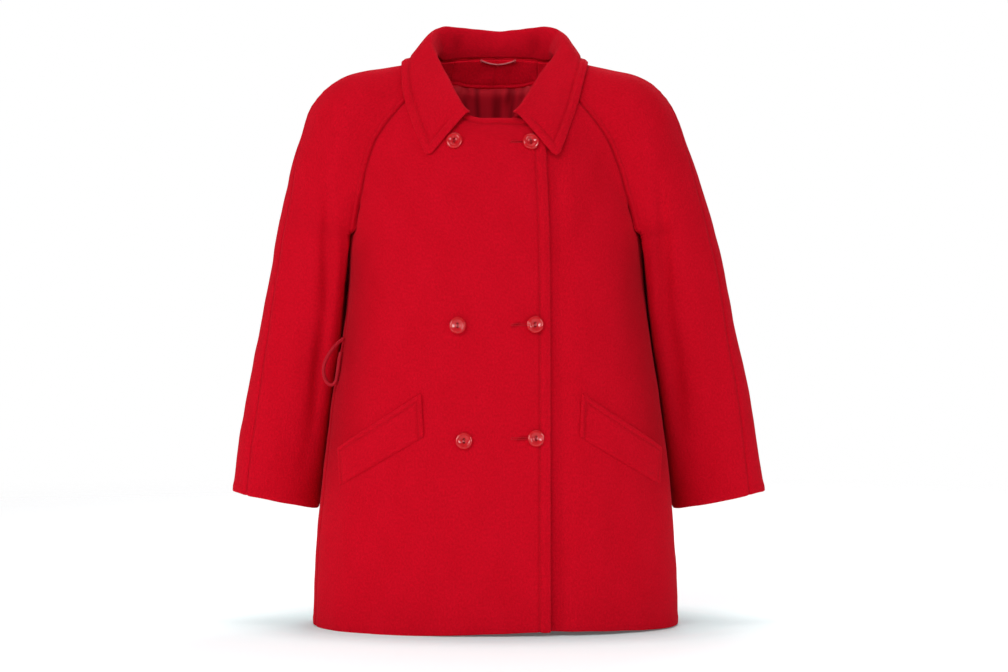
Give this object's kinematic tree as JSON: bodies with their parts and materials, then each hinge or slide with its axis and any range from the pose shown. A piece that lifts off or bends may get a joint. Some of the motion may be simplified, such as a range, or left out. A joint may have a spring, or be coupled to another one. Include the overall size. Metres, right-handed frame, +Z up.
{
  "type": "pea coat",
  "caption": "Double-breasted wool coat with raglan sleeves, turned-down collar, slanted welt pockets and a side belt loop, closed and filled out with no wearer.",
  "frame": {"origin": "the middle of the coat between the shoulders, 0.70 m above the hem, where the wearer carries it", "axes": "+Z up, -Y the way the coat's front faces, +X the wearer's left"},
  "size_m": [0.6952, 0.2869, 0.7806],
  "materials": {
    "wool": "matt, short raised nap",
    "satin": "smooth satin lining",
    "button_plastic": "glossy",
    "cord": "twisted thread cord"
  },
  "bodies": {
    "root": {"front_right": "wool", "front_left": "wool", "back_right": "wool", "back_left": "wool", "sleeve_front_right": "wool", "sleeve_front_left": "wool", "sleeve_back_right": "wool", "sleeve_back_left": "wool", "collar": "wool", "neck_facing": "wool", "side_facing_right": "wool", "side_facing_left": "wool", "pocket_welt_right": "wool", "pocket_welt_left": "wool", "lining_back": "satin", "button_right_top": "button_plastic", "button_right_middle": "button_plastic", "button_right_low": "button_plastic", "button_left_top": "button_plastic", "button_left_middle": "button_plastic", "button_left_low": "button_plastic", "belt_loop": "cord", "hanger_loop": "cord"}
  },
  "joints": []
}
